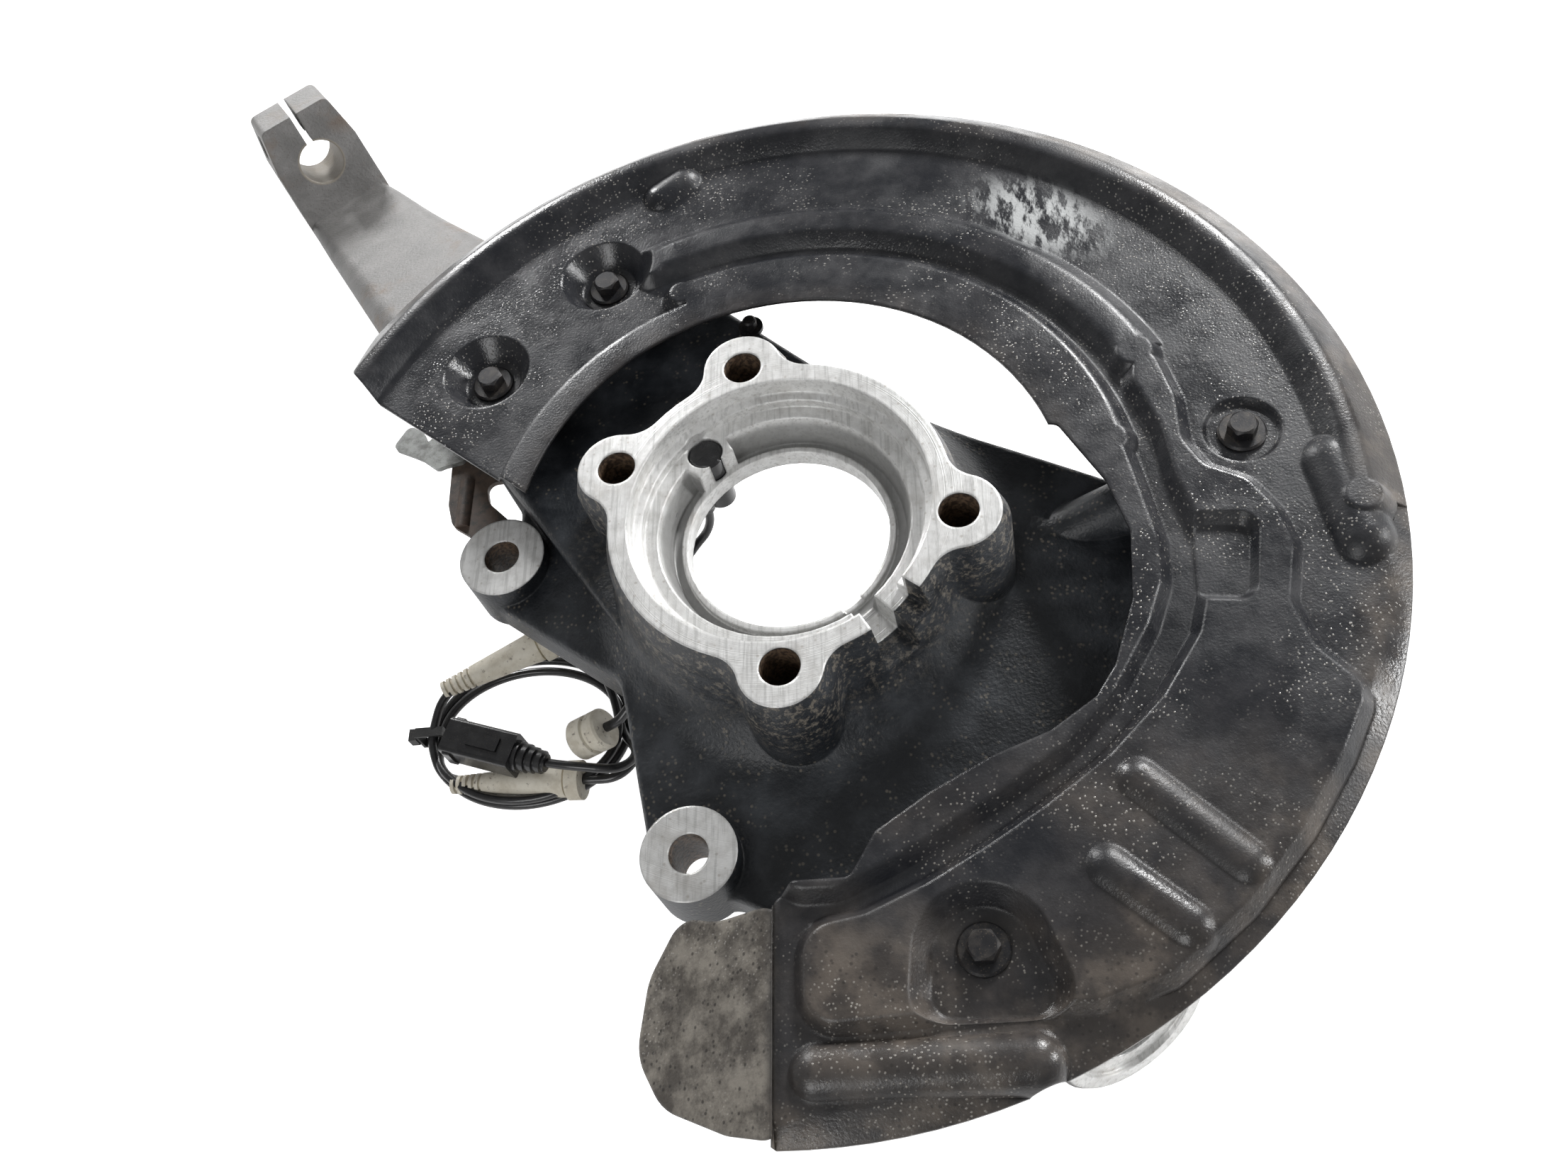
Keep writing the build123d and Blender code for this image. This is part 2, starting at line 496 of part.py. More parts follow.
def turned(*pts):
    return revolve(make_face(Plane.XZ * Polyline(*pts, close=True)), Axis.Z)


def ribbed(r0, r1, length, count):
    """stack of rings from r0 to r1 as (radius, height) points"""
    pts, pitch = [], length / count
    for i in range(count):
        r = r0 + (r1 - r0) * i / count
        pts += [(r, i * pitch), (r, (i + 0.55) * pitch), (r - 0.9, (i + 0.62) * pitch), (r - 0.9, (i + 0.93) * pitch)]
    return pts


def sleeve(p, q):
    """moulded sleeve: ribbed tip, tapering barrel and an end disc behind a groove"""
    n = (Vector(*q) - Vector(*p)).length
    pts = [(0, 0)] + ribbed(3.2, 4.0, 12, 5) + [(4.0, 12), (5.5, n - 11), (5.9, n - 8), (5.9, n - 6), (5.0, n - 5.8),
                                               (5.0, n - 5.2), (SLEEVE_R, n - 5), (SLEEVE_R, n), (0, n)]
    return along(p, q) * turned(*pts)


def lead_points():
    s, end = SENSOR_TAIL_AT, Vector(*SLEEVE_LOW_END)
    z = SENSOR_TAIL_Z - 4
    into = (end - Vector(*SLEEVE_LOW_TIP)).normalized() * 14
    return [(s.X, s.Y, z), (s.X, s.Y, z - 11), (s.X - 11, s.Y - 5, z - 20), (-59, 22, -88), (-66, 5, -93.5),
            (-68, -14, -97), (-66, -30, -98.8), tuple(end + into), SLEEVE_LOW_END]


def sensor_lead():
    pts = [Vector(*p) for p in lead_points()]
    radii = []
    for a, b, c in zip(pts, pts[1:], pts[2:]):
        half = radians((b - a).get_angle(c - b)) / 2
        radii.append(0.45 * min((b - a).length, (c - b).length) / tan(half))
    print("lead radii", [round(r, 1) for r in radii])
    path = FilletPolyline(*pts, radius=radii)
    tube = sweep(Plane(origin=pts[0], z_dir=pts[1] - pts[0]) * Circle(CABLE_R), path)
    print("lead length", round(path.length, 1), "volume ratio", round(tube.volume / (pi * CABLE_R ** 2 * path.length), 4))
    return tube


def harness_coil():
    ring = Ellipse(COIL_A + COIL_W / 2, COIL_B + COIL_W / 2) - Ellipse(COIL_A - COIL_W / 2, COIL_B - COIL_W / 2)
    x, y = COIL_AT
    left = SLEEVE_LOW_TIP[0] - CLIP_GAP - x
    ring -= Pos(left + 31, -26) * Rectangle(62, 36)
    c = Pos(x, y, COIL_Z) * extrude(ring, -COIL_H)
    return chamfer(c.edges().filter_by(GeomType.ELLIPSE), 1.2)


def round_grommet():
    r, n = GROMMET_R, GROMMET_L
    pts = [(0, 0), (r - 0.8, 0), (r, 0.8), (r, n * 0.5), (r - 1, n * 0.53), (r - 1, n * 0.63), (r, n * 0.66), (r, n - 0.8),
           (r - 0.8, n), (0, n)]
    return along(GROMMET_FAR, GROMMET_NEAR) * turned(*pts)


def cut_lead():
    """short cut end that stands out of the grommet"""
    n = (Vector(*GROMMET_NEAR) - Vector(*GROMMET_FAR)).normalized()
    a = Vector(*GROMMET_FAR) + n * GROMMET_L
    b = a + n * 6
    c = Vector(*STUB_END)
    half = radians((b - a).get_angle(c - b)) / 2
    path = FilletPolyline(a, b, c, radius=0.45 * 6 / tan(half))
    return sweep(Plane(origin=a, z_dir=n) * Circle(CABLE_R + 0.1), path)


def plug_body():
    lx, ly, lz = PLUG
    b = fillet(Box(ly, lz, lx).edges().filter_by(Axis.Z), 1.6)
    b += Pos(0, lz / 2 - 0.4, 2) * Box(5, 2.2, 12)
    b += Pos(0, 0, -lx / 2 + 3) * fillet(Box(ly + 1.6, lz - 2.5, 3).edges().filter_by(Axis.Z), 1.0)
    b -= Pos(0, 0, -lx / 2 + 3) * Box(ly - 3, lz - 4.5, 7)
    return plug_plane() * (Pos(0, 0, lx / 2) * b)


def plug_plane():
    return Plane(origin=PLUG_BACK, x_dir=(-PLUG_DIR[1], PLUG_DIR[0], 0), z_dir=PLUG_DIR)


def plug_boot():
    pts = [(0, 0)] + [(r, z) for r, z in ribbed(5.6, 3.6, BOOT_L, 4)] + [(2.6, BOOT_L), (0, BOOT_L)]
    return Plane(origin=Vector(*PLUG_BACK) + plug_plane().z_dir * PLUG[0], z_dir=PLUG_DIR) * turned(*pts)


def cable_tie():
    x, y = COIL_AT
    g = CLIP_GAP
    band = Box(COIL_W + 2 * g + 2, 3.6, COIL_H + 2 * g + 2) - Box(COIL_W + 2 * g, 5, COIL_H + 2 * g)
    head = Pos(-COIL_W / 2 - g - 2.4, 0, 1) * Box(3, 4.6, 4.4)
    return Pos(x - COIL_A, y, COIL_Z - COIL_H / 2) * (band + head)


def placed_bolt(p, length=14.0):
    return Pos(*p) * flange_bolt(length)


PARTS = {
    "knuckle_casting": casting(),
    "dust_shield": dust_shield(),
    "shield_bolt_neck_outer": placed_bolt(SHIELD_BOLTS[0]),
    "shield_bolt_neck_inner": placed_bolt(SHIELD_BOLTS[1]),
    "shield_bolt_side": placed_bolt(SHIELD_BOLTS[2]),
    "shield_bolt_lower": placed_bolt(SHIELD_BOLTS[3]),
    "wheel_speed_sensor": sensor(),
    "sensor_o_ring": sensor_o_ring(),
    "sensor_screw": sensor_screw(),
    "harness_bracket": harness_bracket(),
    "bracket_bolt": Pos(*BRACKET_BOLT, PLATE_BACK_Z - SHEET_BRACKET_T) * Rot(180, 0, 0) * flange_bolt(14.0),
    "harness_clip": harness_clip(),
    "clip_rivet": rivet(),
    "root_stud": stud(),
    "sensor_lead": sensor_lead(),
    "harness_coil": harness_coil(),
    "lower_sleeve": sleeve(SLEEVE_LOW_TIP, SLEEVE_LOW_END),
    "upper_sleeve": sleeve(SLEEVE_UP_TIP, SLEEVE_UP_END),
    "round_grommet": round_grommet(),
    "cut_lead": cut_lead(),
    "harness_plug": plug_body(),
    "plug_boot": plug_boot(),
    "cable_tie": cable_tie(),
}

os.makedirs("parts", exist_ok=True)
for name, s in PARTS.items():
    s.label = name
    export_step(s, f"parts/{name}.step")
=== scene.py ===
"""Steering knuckle with its dust shield and sensor harness: finishes, cord, light and camera."""
import json
from math import cos, radians, sin

import bmesh
import bpy
from mathutils import Matrix, Vector

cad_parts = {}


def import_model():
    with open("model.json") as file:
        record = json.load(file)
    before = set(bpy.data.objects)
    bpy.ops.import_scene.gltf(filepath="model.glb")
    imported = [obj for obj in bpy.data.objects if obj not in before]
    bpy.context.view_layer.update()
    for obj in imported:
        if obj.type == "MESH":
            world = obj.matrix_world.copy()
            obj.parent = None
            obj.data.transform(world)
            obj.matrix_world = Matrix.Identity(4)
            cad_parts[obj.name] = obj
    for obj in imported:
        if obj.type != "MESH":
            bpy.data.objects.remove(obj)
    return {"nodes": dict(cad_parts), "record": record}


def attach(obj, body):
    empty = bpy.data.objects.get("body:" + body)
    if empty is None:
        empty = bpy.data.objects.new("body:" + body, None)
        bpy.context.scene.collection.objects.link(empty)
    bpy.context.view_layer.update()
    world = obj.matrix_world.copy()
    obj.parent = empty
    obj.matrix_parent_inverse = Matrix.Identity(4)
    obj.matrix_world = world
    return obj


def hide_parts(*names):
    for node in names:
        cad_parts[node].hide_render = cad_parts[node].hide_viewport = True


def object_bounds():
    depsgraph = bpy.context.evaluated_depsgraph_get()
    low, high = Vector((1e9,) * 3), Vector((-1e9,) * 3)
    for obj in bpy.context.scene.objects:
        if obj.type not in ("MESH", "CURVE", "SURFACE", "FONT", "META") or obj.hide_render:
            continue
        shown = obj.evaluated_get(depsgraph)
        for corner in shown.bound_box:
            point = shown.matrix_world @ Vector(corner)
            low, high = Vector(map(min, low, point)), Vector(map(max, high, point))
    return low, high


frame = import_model()
cad_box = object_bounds()

MM = 0.001
PER_M = 1000.0

# ---------------------------------------------------------------- places on the knuckle, in millimetres
EAR_UPPER = (-98.9, 12.4)
EAR_LOWER = (-31.8, -94.5)
EAR_FACE_Z = -33.0
EAR_FACE_R = 14.5
HOLE_R = 6.0
BOLT_CIRCLE_R = 54.0
BOLT_ANGLES = (102.0, 159.0, 271.0, 351.0)
RING_FACE_R = 70.0
MOUTH_R = 46.0
FLANGE_BACK_Z = -25.0
GROOVE_OUTER_R = 39.0
GROOVE_INNER_R = 33.8
CLAMP_FOOT = (-217.0, 247.0, -62.0)
CLAMP_BORE_R = 9.5
LOWER_FOOT = (88.0, -144.0, -50.0)
LOWER_FACE_R = 23.0
STEERING_AXIS = (-0.5256, 0.7971, -0.2974)
SHIELD_R = 178.3
WINDOW_R = 85.0
TAB_FOLD_X = -3.0

# the bare scuff on the shield: middle, direction across the page, squared half length and half width
SCUFF_AT = (86.0, 112.0)
SCUFF_COS, SCUFF_SIN = 0.77, 0.64
SCUFF_LONG_SQ, SCUFF_WIDE_SQ = 900.0, 260.0

# ---------------------------------------------------------------- colours
CAST_BLACK, CAST_BLACK_WORN = (0.010, 0.012, 0.015), (0.036, 0.040, 0.046)
CAST_PALE, CAST_PALE_WORN = (0.15, 0.147, 0.143), (0.22, 0.215, 0.21)
CAST_SAND = (0.20, 0.175, 0.14)
CAST_CRUST = (0.22, 0.195, 0.16)
CAST_RUST = (0.15, 0.10, 0.065)
CAST_PIT = (0.09, 0.08, 0.07)
CUT_BRIGHT, CUT_DULL = (0.78, 0.78, 0.77), (0.60, 0.595, 0.58)
CUT_SPOT = (0.25, 0.2, 0.15)
CUT_SCORE = (0.40, 0.40, 0.39)
CUT_BLOTCH = (0.42, 0.40, 0.37)
# painted shade: the dark colour given to the groove and the bore wall past the lip
GROOVE_PAINTED_SHADE = (0.24, 0.24, 0.235)
HOLE_RUST_DARK, HOLE_RUST_LIGHT = (0.050, 0.034, 0.024), (0.17, 0.115, 0.075)
CLAMP_BORE = (0.30, 0.26, 0.20)
SHIELD_BLACK, SHIELD_BLACK_WORN = (0.010, 0.011, 0.014), (0.034, 0.034, 0.037)
SHIELD_BROWN, SHIELD_BROWN_WORN = (0.050, 0.042, 0.036), (0.135, 0.112, 0.092)
TAB_DARK, TAB_LIGHT = (0.070, 0.062, 0.054), (0.235, 0.215, 0.185)
SHIELD_DUST = (0.33, 0.31, 0.28)
SHIELD_PIT = (0.018, 0.016, 0.015)
SHIELD_BARE = (0.40, 0.41, 0.41)
GRIT = (0.16, 0.13, 0.10)
CREAM, CREAM_YELLOWED = (0.74, 0.70, 0.60), (0.58, 0.53, 0.43)
CREAM_DIRT = (0.13, 0.10, 0.075)
FLOOR_GREY = (0.85, 0.85, 0.85)
WHITE = (1.0, 1.0, 1.0)

# name: colour, colour of its patches, share of grit, roughness, metal, coat
PLAIN_FINISHES = {
    "dark_steel": ((0.016, 0.016, 0.018), (0.045, 0.040, 0.036), 0.35, 0.34, 0.35, 0.0),
    "zinc_steel": ((0.30, 0.31, 0.30), (0.16, 0.16, 0.155), 0.5, 0.40, 0.55, 0.0),
    "bracket_paint": ((0.085, 0.060, 0.045), (0.040, 0.034, 0.030), 0.5, 0.45, 0.0, 0.0),
    "sensor_plastic": ((0.008, 0.008, 0.009), (0.016, 0.016, 0.017), 0.1, 0.15, 0.0, 0.4),
    "plug_plastic": ((0.007, 0.007, 0.008), (0.014, 0.014, 0.015), 0.15, 0.20, 0.0, 0.3),
    "tie_plastic": ((0.012, 0.012, 0.012), (0.020, 0.020, 0.020), 0.2, 0.42, 0.0, 0.0),
    "cable_rubber": ((0.009, 0.009, 0.010), (0.020, 0.020, 0.021), 0.12, 0.22, 0.0, 0.25),
}
PLAIN_PATCH = 260
PLAIN_GRIT = 1100
PLAIN_SKIN = 1800
PLAIN_DEPTH_MM = 0.12

# ---------------------------------------------------------------- camera, light and floor
CAMERA_AT = Vector((67.75, -236.19, 352.03)) * MM
CAMERA_RIGHT = Vector((0.9831, 0.0, -0.1830))
CAMERA_DOWN = Vector((-0.0916, -0.8656, -0.4922))
CAMERA_FORWARD = Vector((-0.1584, 0.5007, -0.8510))
LENS_MM = 33.22
FILM_MM = 36.0
NEAREST_M = 0.01

# name: place in metres, watts, side in metres; each lamp points at the origin
LAMPS = {
    "key": ((0.50, 0.85, 0.52), 13.0, 0.22),
    "back": ((-0.55, 1.00, 0.42), 8.0, 0.22),
    "side": ((1.15, 0.10, 0.42), 7.0, 0.22),
    "front": ((-0.35, -0.90, 0.60), 4.0, 0.5),
}
ROOM_LIGHT = 0.26
FLOOR_SIZE_M = 4.0
FLOOR_DROP_MM = 0.2
FLOOR_GLOW = 0.93
FLOOR_IN_REFLECTIONS = 0.5


# ---------------------------------------------------------------- shader maths
class Value:
    """a number that changes over the surface"""

    def __init__(self, finish, socket):
        self.finish = finish
        self.socket = socket

    def math(self, operation, *others):
        return self.finish.node("ShaderNodeMath", {"operation": operation}, [self, *others])

    def __add__(self, other):
        return self.math("ADD", other)

    def __sub__(self, other):
        return self.math("SUBTRACT", other)

    def __rsub__(self, other):
        return self.finish.node("ShaderNodeMath", {"operation": "SUBTRACT"}, [other, self])

    def __mul__(self, other):
        return self.math("MULTIPLY", other)

    def __truediv__(self, other):
        return self.math("DIVIDE", other)

    __radd__ = __add__
    __rmul__ = __mul__

    def root(self):
        return self.math("SQRT")

    def most(self, other):
        return self.math("MAXIMUM", other)

    def least(self, other):
        return self.math("MINIMUM", other)

    def rise(self, low, high):
        """0 below low, 1 above high, smooth between; high under low gives a fall"""
        settings = {"interpolation_type": "SMOOTHSTEP"}
        if low < high:
            return self.finish.node("ShaderNodeMapRange", settings, [self, low, high, 0.0, 1.0])
        return self.finish.node("ShaderNodeMapRange", settings, [self, high, low, 1.0, 0.0])


class Finish:
    """a material under the name of its finish"""

    def __init__(self, name):
        self.material = bpy.data.materials.new(name)
        self.material.use_nodes = True
        self.tree = self.material.node_tree
        self.tree.nodes.clear()
        self.output = self.tree.nodes.new("ShaderNodeOutputMaterial")
        self.place = self.node("ShaderNodeTexCoord", out="Object")

    def node(self, kind, settings=(), sockets=(), out=0):
        made = self.tree.nodes.new(kind)
        for key, value in dict(settings).items():
            setattr(made, key, value)
        pairs = sockets.items() if isinstance(sockets, dict) else enumerate(sockets)
        for key, value in pairs:
            if isinstance(value, Value):
                self.tree.links.new(value.socket, made.inputs[key])
            elif isinstance(value, tuple) and len(made.inputs[key].default_value) == 4:
                made.inputs[key].default_value = (*value, 1.0)
            else:
                made.inputs[key].default_value = value
        return Value(self, made.outputs[out])

    def mix(self, amount, first, second):
        sockets = {0: amount, 6: first, 7: second}
        return self.node("ShaderNodeMix", {"data_type": "RGBA"}, sockets, out=2)

    def millimetres(self):
        split = self.node("ShaderNodeSeparateXYZ", sockets=[self.place])
        outputs = split.socket.node.outputs
        return [Value(self, outputs[i]) * PER_M for i in range(3)]

    def noise(self, per_metre, detail=3.0, rough=0.55, stretch=None):
        """clouds of even grain; stretch is the turn and the scale of streaks"""
        place = self.place
        if stretch:
            turn_by, scale_by = stretch
            turned = {"Vector": self.place, "Rotation": turn_by, "Scale": scale_by}
            place = self.node("ShaderNodeMapping", sockets=turned)
        sockets = {"Vector": place, "Scale": per_metre, "Detail": detail, "Roughness": rough}
        return self.node("ShaderNodeTexNoise", sockets=sockets)

    def specks(self, per_metre, reach):
        """1 in the middle of scattered spots, falling to 0 at reach of a cell"""
        sockets = {"Vector": self.place, "Scale": per_metre}
        cells = self.node("ShaderNodeTexVoronoi", sockets=sockets, out="Distance")
        return cells.rise(reach, reach * 0.4)

    def bump(self, height, depth_mm, strength=1.0, edge_mm=0.0):
        """relief of a given depth; edge_mm rounds the shading of sharp edges"""
        sockets = {"Strength": strength, "Distance": depth_mm * MM, "Height": height}
        if edge_mm:
            sockets["Normal"] = self.node("ShaderNodeBevel", {"samples": 6}, {"Radius": edge_mm * MM})
        return self.node("ShaderNodeBump", sockets=sockets)

    def surface(self, **sockets):
        names = {key.replace("_", " "): value for key, value in sockets.items()}
        shader = self.node("ShaderNodeBsdfPrincipled", sockets=names)
        self.tree.links.new(shader.socket, self.output.inputs["Surface"])
        return self.material


def spread(x, y, centre):
    """distance in plan from a centre"""
    dx, dy = x - centre[0], y - centre[1]
    return (dx * dx + dy * dy).root()


def along_axis(x, y, z, foot):
    """distance from a foot point along the steering axis"""
    k = STEERING_AXIS
    return (x - foot[0]) * k[0] + (y - foot[1]) * k[1] + (z - foot[2]) * k[2]


def off_axis(x, y, z, foot):
    """distance from the joint axis through a foot point"""
    s = along_axis(x, y, z, foot)
    dx, dy, dz = x - foot[0], y - foot[1], z - foot[2]
    return (dx * dx + dy * dy + dz * dz - s * s).most(0.0).root()


# ---------------------------------------------------------------- finishes
def cast_metal():
    """black casting with a bare neck, bright machined faces and rusty holes"""
    f = Finish("cast_metal")
    x, y, z = f.millimetres()
    r = (x * x + y * y).root()
    grain, patch, stain = f.noise(850, 3), f.noise(70, 4, 0.65), f.noise(22, 3)

    # machined faces
    ring_face = z.rise(-0.6, -0.25) * r.rise(RING_FACE_R + 1, RING_FACE_R - 1)
    upper, lower = spread(x, y, EAR_UPPER), spread(x, y, EAR_LOWER)
    ears = upper.least(lower)
    ear_front = z.rise(EAR_FACE_Z - 0.5, EAR_FACE_Z - 0.2)
    ear_face = ears.rise(EAR_FACE_R + 0.5, EAR_FACE_R - 0.2) * ear_front
    seat = r.rise(MOUTH_R + 1.2, MOUTH_R + 0.6) * z.rise(FLANGE_BACK_Z - 0.5, FLANGE_BACK_Z + 0.5)
    lower_off = off_axis(x, y, z, LOWER_FOOT)
    lower_s = along_axis(x, y, z, LOWER_FOOT)
    lower_face = lower_off.rise(LOWER_FACE_R + 0.5, LOWER_FACE_R - 0.5) * lower_s.rise(3.0, 2.0)
    clamp_bore = off_axis(x, y, z, CLAMP_FOOT).rise(CLAMP_BORE_R + 1.1, CLAMP_BORE_R + 0.5)
    machined = ring_face.most(ear_face).most(seat).most(lower_face)

    # bolt holes, under their faces
    holes = ears.rise(HOLE_R + 0.8, HOLE_R + 0.2) * z.rise(EAR_FACE_Z - 0.2, EAR_FACE_Z - 1.0)
    for angle in BOLT_ANGLES:
        at = (BOLT_CIRCLE_R * cos(radians(angle)), BOLT_CIRCLE_R * sin(radians(angle)))
        holes = holes.most(spread(x, y, at).rise(HOLE_R + 0.8, HOLE_R + 0.2) * z.rise(-0.4, -1.4))

    # bare metal: the neck towards its clamp, and the lower boss
    bare = (along_axis(x, y, z, CLAMP_FOOT) * -1.0).rise(225, 120)
    bare = bare.most(lower_off.rise(34, 29) * 0.85)

    dark = f.mix(patch.rise(0.35, 0.75), CAST_BLACK, CAST_BLACK_WORN)
    sand = f.specks(520, 0.34) * f.noise(110, 2).rise(0.45, 0.62)
    dark = f.mix(sand * 0.55, dark, CAST_SAND)
    flank = z.rise(-34, -8) * r.rise(76, 70)
    crust = f.noise(420, 5, 0.75).rise(0.50, 0.62) * flank
    dark = f.mix(crust * 0.75, dark, CAST_CRUST)

    pale = f.mix(patch.rise(0.3, 0.7), CAST_PALE, CAST_PALE_WORN)
    rust = f.noise(45, 4, 0.7).rise(0.50, 0.68) * stain.rise(0.42, 0.62)
    pale = f.mix(rust * 0.6, pale, CAST_RUST)
    pale = f.mix(f.specks(900, 0.3) * 0.5, pale, CAST_PIT)

    cut = f.mix(f.noise(240, 4, 0.7).rise(0.35, 0.75), CUT_BRIGHT, CUT_DULL)
    cut = f.mix(f.specks(330, 0.2) * 0.35, cut, CUT_SPOT)
    scores = f.noise(900, 3, 0.6, stretch=((0.0, 0.0, 0.9), (1.0, 0.05, 1.0)))
    cut = f.mix(scores.rise(0.50, 0.64) * 0.45, cut, CUT_SCORE)
    cut = f.mix(f.noise(38, 4, 0.65).rise(0.52, 0.68) * 0.5, cut, CUT_BLOTCH)
    # painted shade: the groove and the bore wall past the lip are darkened in colour, standing in for
    # the shade that falls in that recess
    inside_groove = r.rise(GROOVE_OUTER_R + 0.4, GROOVE_OUTER_R - 0.4)
    outside_lip = r.rise(GROOVE_INNER_R - 0.2, GROOVE_INNER_R + 0.2)
    groove_painted_shade = inside_groove * outside_lip * z.rise(-11.0, -14.0)
    cut = f.mix(groove_painted_shade * 0.7, cut, GROOVE_PAINTED_SHADE)

    hole_rust = f.mix(grain.rise(0.4, 0.6), HOLE_RUST_DARK, HOLE_RUST_LIGHT)
    colour = f.mix(bare, dark, pale)
    colour = f.mix(machined, colour, cut)
    colour = f.mix(holes * 0.9, colour, hole_rust)
    colour = f.mix(clamp_bore * 0.55, colour, CLAMP_BORE)

    turned = {"W": r + z * 1.7, "Scale": 3.2, "Detail": 2.0}
    tool_rings = f.node("ShaderNodeTexNoise", {"noise_dimensions": "1D"}, turned)
    scratch = f.noise(300, 2, 0.5, stretch=((0.0, 0.0, 0.9), (1.0, 0.06, 1.0)))
    cast_rough = 0.28 + patch * 0.30 + bare * 0.12
    rough = cast_rough * (1 - machined) + (0.20 + scratch * 0.28) * machined
    height = grain * (1 - machined) + (tool_rings * 0.25 + scratch * 0.18) * machined
    return f.surface(Base_Color=colour, Roughness=rough, Metallic=bare * 0.15 + machined * 0.45,
                     Normal=f.bump(height + patch * 0.8, 0.45, 0.55, edge_mm=1.1))


def shield_paint():
    """black paint, brown at the rim and below, dusty, with one bare scuff"""
    f = Finish("shield_paint")
    x, y, z = f.millimetres()
    r = (x * x + y * y).root()
    fine, patch, cloud = f.noise(1300, 2), f.noise(55, 5, 0.7), f.noise(14, 3)

    black = f.mix(patch.rise(0.35, 0.72), SHIELD_BLACK, SHIELD_BLACK_WORN)
    brown = f.mix(f.noise(90, 4).rise(0.4, 0.65), SHIELD_BROWN, SHIELD_BROWN_WORN)
    rim = r.rise(160, SHIELD_R - 2) * f.noise(30, 3).rise(0.40, 0.62)
    window = r.rise(WINDOW_R + 9, WINDOW_R + 1) * 0.35
    low = y.rise(-60, -135) * cloud.rise(0.36, 0.60)
    worn = rim.most(low * 0.85).most(window * patch)
    colour = f.mix(worn * 0.85, black, brown)

    tab = x.rise(TAB_FOLD_X + 1.5, TAB_FOLD_X - 3) * y.rise(-95, -100)
    mottled = f.mix(f.noise(75, 5, 0.75).rise(0.36, 0.66), TAB_DARK, TAB_LIGHT)
    colour = f.mix(tab, colour, mottled)
    dust = f.specks(760, 0.30) * f.noise(26, 4, 0.65).rise(0.44, 0.66)
    colour = f.mix(dust * 0.75, colour, SHIELD_DUST)
    pits = f.specks(430, 0.28) * worn.most(tab)
    colour = f.mix(pits * 0.7, colour, SHIELD_PIT)

    dx, dy = x - SCUFF_AT[0], y - SCUFF_AT[1]
    lengthwise = dx * SCUFF_COS - dy * SCUFF_SIN
    across = dx * SCUFF_SIN + dy * SCUFF_COS
    oval = (lengthwise * lengthwise / SCUFF_LONG_SQ + across * across / SCUFF_WIDE_SQ).root()
    scraped = f.noise(260, 4, 0.7, stretch=((0.0, 0.0, 0.7), (1.0, 0.35, 1.0)))
    scuff = oval.rise(1.1, 0.35) * scraped.rise(0.42, 0.56)
    colour = f.mix(scuff * 0.9, colour, SHIELD_BARE)

    rough = 0.20 + f.noise(34, 4, 0.7).rise(0.35, 0.7) * 0.26 + scuff * 0.2 + worn * 0.06
    return f.surface(Base_Color=colour, Roughness=rough, Metallic=0.0,
                     Normal=f.bump(fine * 0.5 + patch + dust * 0.5, 0.35, 0.5, edge_mm=1.3))


def plain_finish(name, base, patches, gritty, rough, metal, coat):
    """even finish with soft patches of another tone, grit and a fine skin"""
    f = Finish(name)
    patch = f.noise(PLAIN_PATCH, 4, 0.6)
    colour = f.mix(patch.rise(0.4, 0.72), base, patches)
    colour = f.mix(f.specks(PLAIN_GRIT, 0.26) * gritty, colour, GRIT)
    relief = f.bump(f.noise(PLAIN_SKIN, 2) * 0.5 + patch, PLAIN_DEPTH_MM, 0.5)
    return f.surface(Base_Color=colour, Roughness=rough + patch * 0.2, Metallic=metal,
                     Coat_Weight=coat, Normal=relief)


def cream_moulding():
    """cream plastic with dirt in patches"""
    f = Finish("cream_moulding")
    patch = f.noise(160, 4, 0.65)
    clean = f.mix(patch.rise(0.35, 0.7), CREAM, CREAM_YELLOWED)
    dirt = f.noise(420, 4, 0.7).rise(0.57, 0.72)
    colour = f.mix(dirt * 0.8, clean, CREAM_DIRT)
    return f.surface(Base_Color=colour, Roughness=0.45 + patch * 0.25,
                     Normal=f.bump(patch, 0.2, 0.5, edge_mm=0.3))


def finishes():
    made = {"cast_metal": cast_metal(), "shield_paint": shield_paint()}
    for name, look in PLAIN_FINISHES.items():
        made[name] = plain_finish(name, *look)
    made["cream_moulding"] = cream_moulding()
    return made


# ---------------------------------------------------------------- dressed pieces
def dressed(node, material, crease_deg=32.0):
    """the node's own shape with its facets joined into smooth faces"""
    mesh = frame["nodes"][node].data.copy()
    work = bmesh.new()
    work.from_mesh(mesh)
    bmesh.ops.remove_doubles(work, verts=work.verts, dist=0.002 * MM)
    for face in work.faces:
        face.smooth = True
    for edge in work.edges:
        edge.smooth = edge.is_manifold and edge.calc_face_angle(0.0) < radians(crease_deg)
    work.to_mesh(mesh)
    work.free()
    mesh.materials.clear()
    mesh.materials.append(material)
    piece = bpy.data.objects.new(node + "_finish", mesh)
    bpy.context.scene.collection.objects.link(piece)
    even = piece.modifiers.new("even shading", "WEIGHTED_NORMAL")
    even.keep_sharp = True
    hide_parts(node)
    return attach(piece, "root")


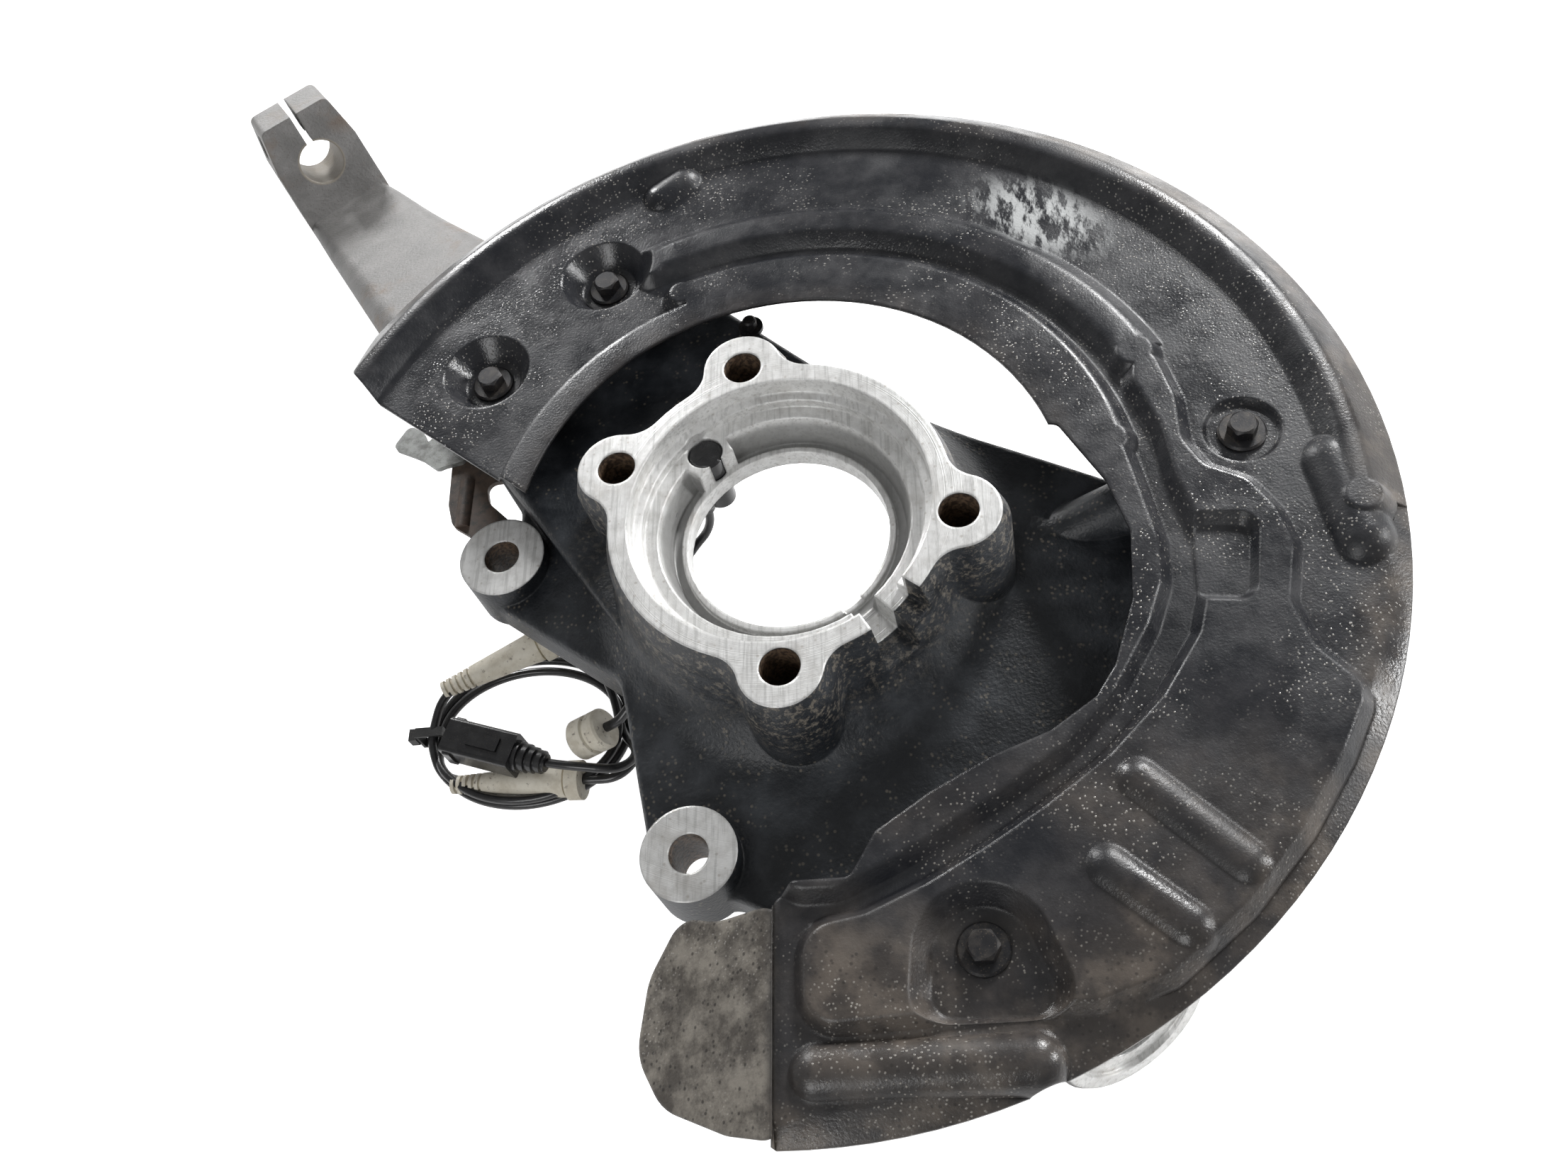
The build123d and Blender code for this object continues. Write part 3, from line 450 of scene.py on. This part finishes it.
# ---------------------------------------------------------------- cord
CABLE_R = 1.6
COIL_AT = (-110.0, -18.5)
LEAD = [(-36.2, 41.7, -60.0), (-36.2, 41.7, -71.0), (-47.2, 36.7, -80.0), (-59.0, 22.0, -88.0),
        (-66.0, 5.0, -93.5), (-68.0, -14.0, -97.0), (-66.0, -30.0, -98.8), (-73.8, -41.3, -99.1),
        (-87.8, -40.6, -99.6)]
LOWER_SLEEVE_TIP = (-136.9, -38.2, -101.2)
UPPER_SLEEVE_TIP = (-141.3, -4.1, -93.2)
UPPER_SLEEVE_MIDDLE = (-121.0, 3.9, -92.0)
UPPER_SLEEVE_END = (-100.0, 12.2, -90.7)
FROM_UPPER_SLEEVE = [(-88.0, 7.5, -92.0), (-78.5, -6.5, -96.5)]
INTO_BOOT = [(-66.9, -33.0, -97.0), (-71.7, -41.3, -91.5), (-83.4, -41.0, -88.0)]
BOOT_END = (-97.1, -38.6, -87.8)
INSIDE_BOOT = (-101.0, -37.3, -87.8)
TURN_STEP = 30.0


def turn(start, end, half_length, half_width, height):
    """points of one stretch of the coil, clockwise from start to end in degrees"""
    steps = max(1, round((start - end) / TURN_STEP))
    points = []
    for i in range(steps + 1):
        a = radians(start + (end - start) * i / steps)
        points.append((COIL_AT[0] + half_length * cos(a), COIL_AT[1] + half_width * sin(a), height))
    return points


def cord_route():
    """from the sensor through both sleeves and the coil into the boot of the plug"""
    route = LEAD + [LOWER_SLEEVE_TIP]
    route += turn(198, -150, 38.0, 29.4, -103.2)
    route += turn(195, 180, 36.5, 27.0, -99.0)
    route += [UPPER_SLEEVE_TIP, UPPER_SLEEVE_MIDDLE, UPPER_SLEEVE_END] + FROM_UPPER_SLEEVE
    route += turn(-15, -150, 37.0, 29.2, -99.6)
    route += turn(190, -10, 35.0, 24.5, -102.6)
    return route + INTO_BOOT + [BOOT_END, INSIDE_BOOT]


def harness_cord(material):
    data = bpy.data.curves.new("sensor_cable", "CURVE")
    data.dimensions = "3D"
    line = data.splines.new("NURBS")
    route = cord_route()
    line.points.add(len(route) - 1)
    for point, at in zip(line.points, route):
        point.co = (*(c * MM for c in at), 1.0)
    line.order_u = 3
    line.use_endpoint_u = True
    line.resolution_u = 8
    data.bevel_depth = CABLE_R * MM
    data.bevel_resolution = 4
    data.use_fill_caps = True
    data.materials.append(material)
    cable = bpy.data.objects.new("sensor_cable", data)
    bpy.context.scene.collection.objects.link(cable)
    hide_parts("sensor_lead", "harness_coil")
    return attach(cable, "root")


def spline_length(cable):
    """length along the middle of the cord, in metres"""
    line = cable.data.copy()
    line.bevel_depth = 0.0
    probe = bpy.data.objects.new("probe", line)
    path = bpy.data.meshes.new_from_object(probe)
    ends = [[path.vertices[i].co for i in edge.vertices] for edge in path.edges]
    total = sum((first - second).length for first, second in ends)
    bpy.data.objects.remove(probe)
    bpy.data.meshes.remove(path)
    return total


# ---------------------------------------------------------------- room
def world():
    """white behind the part, and soft light of ROOM_LIGHT on it"""
    w = bpy.data.worlds.new("studio")
    bpy.context.scene.world = w
    w.use_nodes = True
    nodes, links = w.node_tree.nodes, w.node_tree.links
    back = nodes["Background"]
    back.inputs["Color"].default_value = (*WHITE, 1.0)
    ray = nodes.new("ShaderNodeLightPath")
    strength = nodes.new("ShaderNodeMath")
    strength.operation = "MAXIMUM"
    strength.inputs[0].default_value = ROOM_LIGHT
    links.new(ray.outputs["Is Camera Ray"], strength.inputs[1])
    links.new(strength.outputs[0], back.inputs["Strength"])


def floor():
    """white floor just under the part, half as bright where the part reflects it"""
    mesh = bpy.data.meshes.new("floor")
    work = bmesh.new()
    bmesh.ops.create_grid(work, x_segments=1, y_segments=1, size=FLOOR_SIZE_M)
    height = cad_box[0][2] - FLOOR_DROP_MM * MM
    bmesh.ops.translate(work, verts=work.verts, vec=(0.0, 0.0, height))
    work.to_mesh(mesh)
    work.free()
    plate = bpy.data.objects.new("floor", mesh)
    bpy.context.scene.collection.objects.link(plate)
    f = Finish("floor_white")
    ray = f.node("ShaderNodeLightPath", out="Is Camera Ray")
    shine = f.node("ShaderNodeLightPath", out="Is Glossy Ray")
    glow = ray.most(shine * FLOOR_IN_REFLECTIONS) * FLOOR_GLOW
    f.surface(Base_Color=FLOOR_GREY, Roughness=0.9, Emission_Color=WHITE, Emission_Strength=glow)
    mesh.materials.append(f.material)


def lamp(name, at, power, size):
    data = bpy.data.lights.new(name, "AREA")
    data.energy = power
    data.size = size
    obj = bpy.data.objects.new(name, data)
    obj.location = at
    obj.rotation_euler = (-Vector(at)).to_track_quat("-Z", "Y").to_euler()
    bpy.context.scene.collection.objects.link(obj)


def camera():
    data = bpy.data.cameras.new("camera")
    data.lens = LENS_MM
    data.sensor_width = FILM_MM
    data.clip_start = NEAREST_M
    obj = bpy.data.objects.new("camera", data)
    turn_to = Matrix((CAMERA_RIGHT, -CAMERA_DOWN, -CAMERA_FORWARD)).transposed().to_4x4()
    obj.matrix_world = Matrix.Translation(CAMERA_AT) @ turn_to
    bpy.context.scene.collection.objects.link(obj)
    bpy.context.scene.camera = obj


# ---------------------------------------------------------------- the scene
camera()
world()
floor()
for lamp_name, lamp_settings in LAMPS.items():
    lamp(lamp_name, *lamp_settings)
bpy.context.scene.view_settings.view_transform = "Standard"

finish = finishes()
corded = ("sensor_lead", "harness_coil")
for part in frame["record"]["subparts"]:
    node, slot = part["node"], part["material_slot"]
    if node not in corded:
        dressed(node, finish[slot])

cable = harness_cord(finish["cable_rubber"])
round(spline_length(cable), 3)
